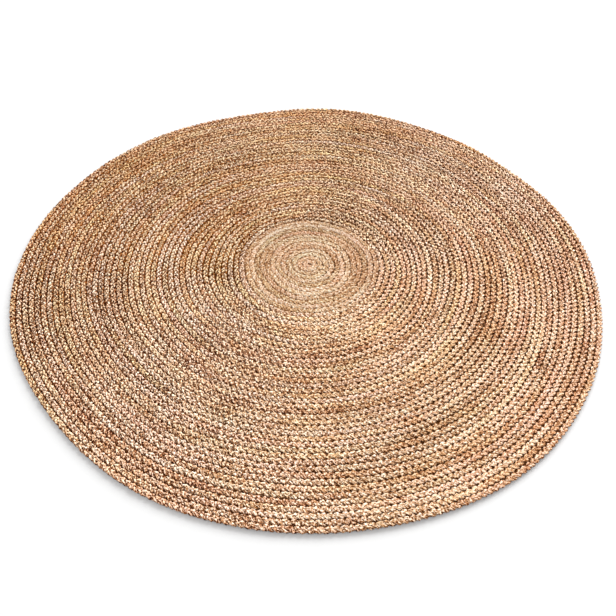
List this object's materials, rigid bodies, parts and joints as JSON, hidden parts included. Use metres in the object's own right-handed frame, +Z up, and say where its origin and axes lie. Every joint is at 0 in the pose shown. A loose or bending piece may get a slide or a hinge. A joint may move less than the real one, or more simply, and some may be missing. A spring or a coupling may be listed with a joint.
{
  "type": "round jute rug",
  "caption": "Round flat rug of one natural jute plait, coiled outward from the middle and sewn edge to edge, for a floor or a table.",
  "frame": {"origin": "on the floor, under the middle of the rug's box", "axes": "+Z up through the rug's thickness; the picture looks along +Y, with +X to the right"},
  "size_m": [0.9142, 0.9172, 0.0095],
  "materials": {
    "plaited_jute": "dry, coarse natural jute, golden tan with redder, paler and browner stretches"
  },
  "bodies": {
    "root": {"jute_rug": "plaited_jute"}
  },
  "joints": []
}
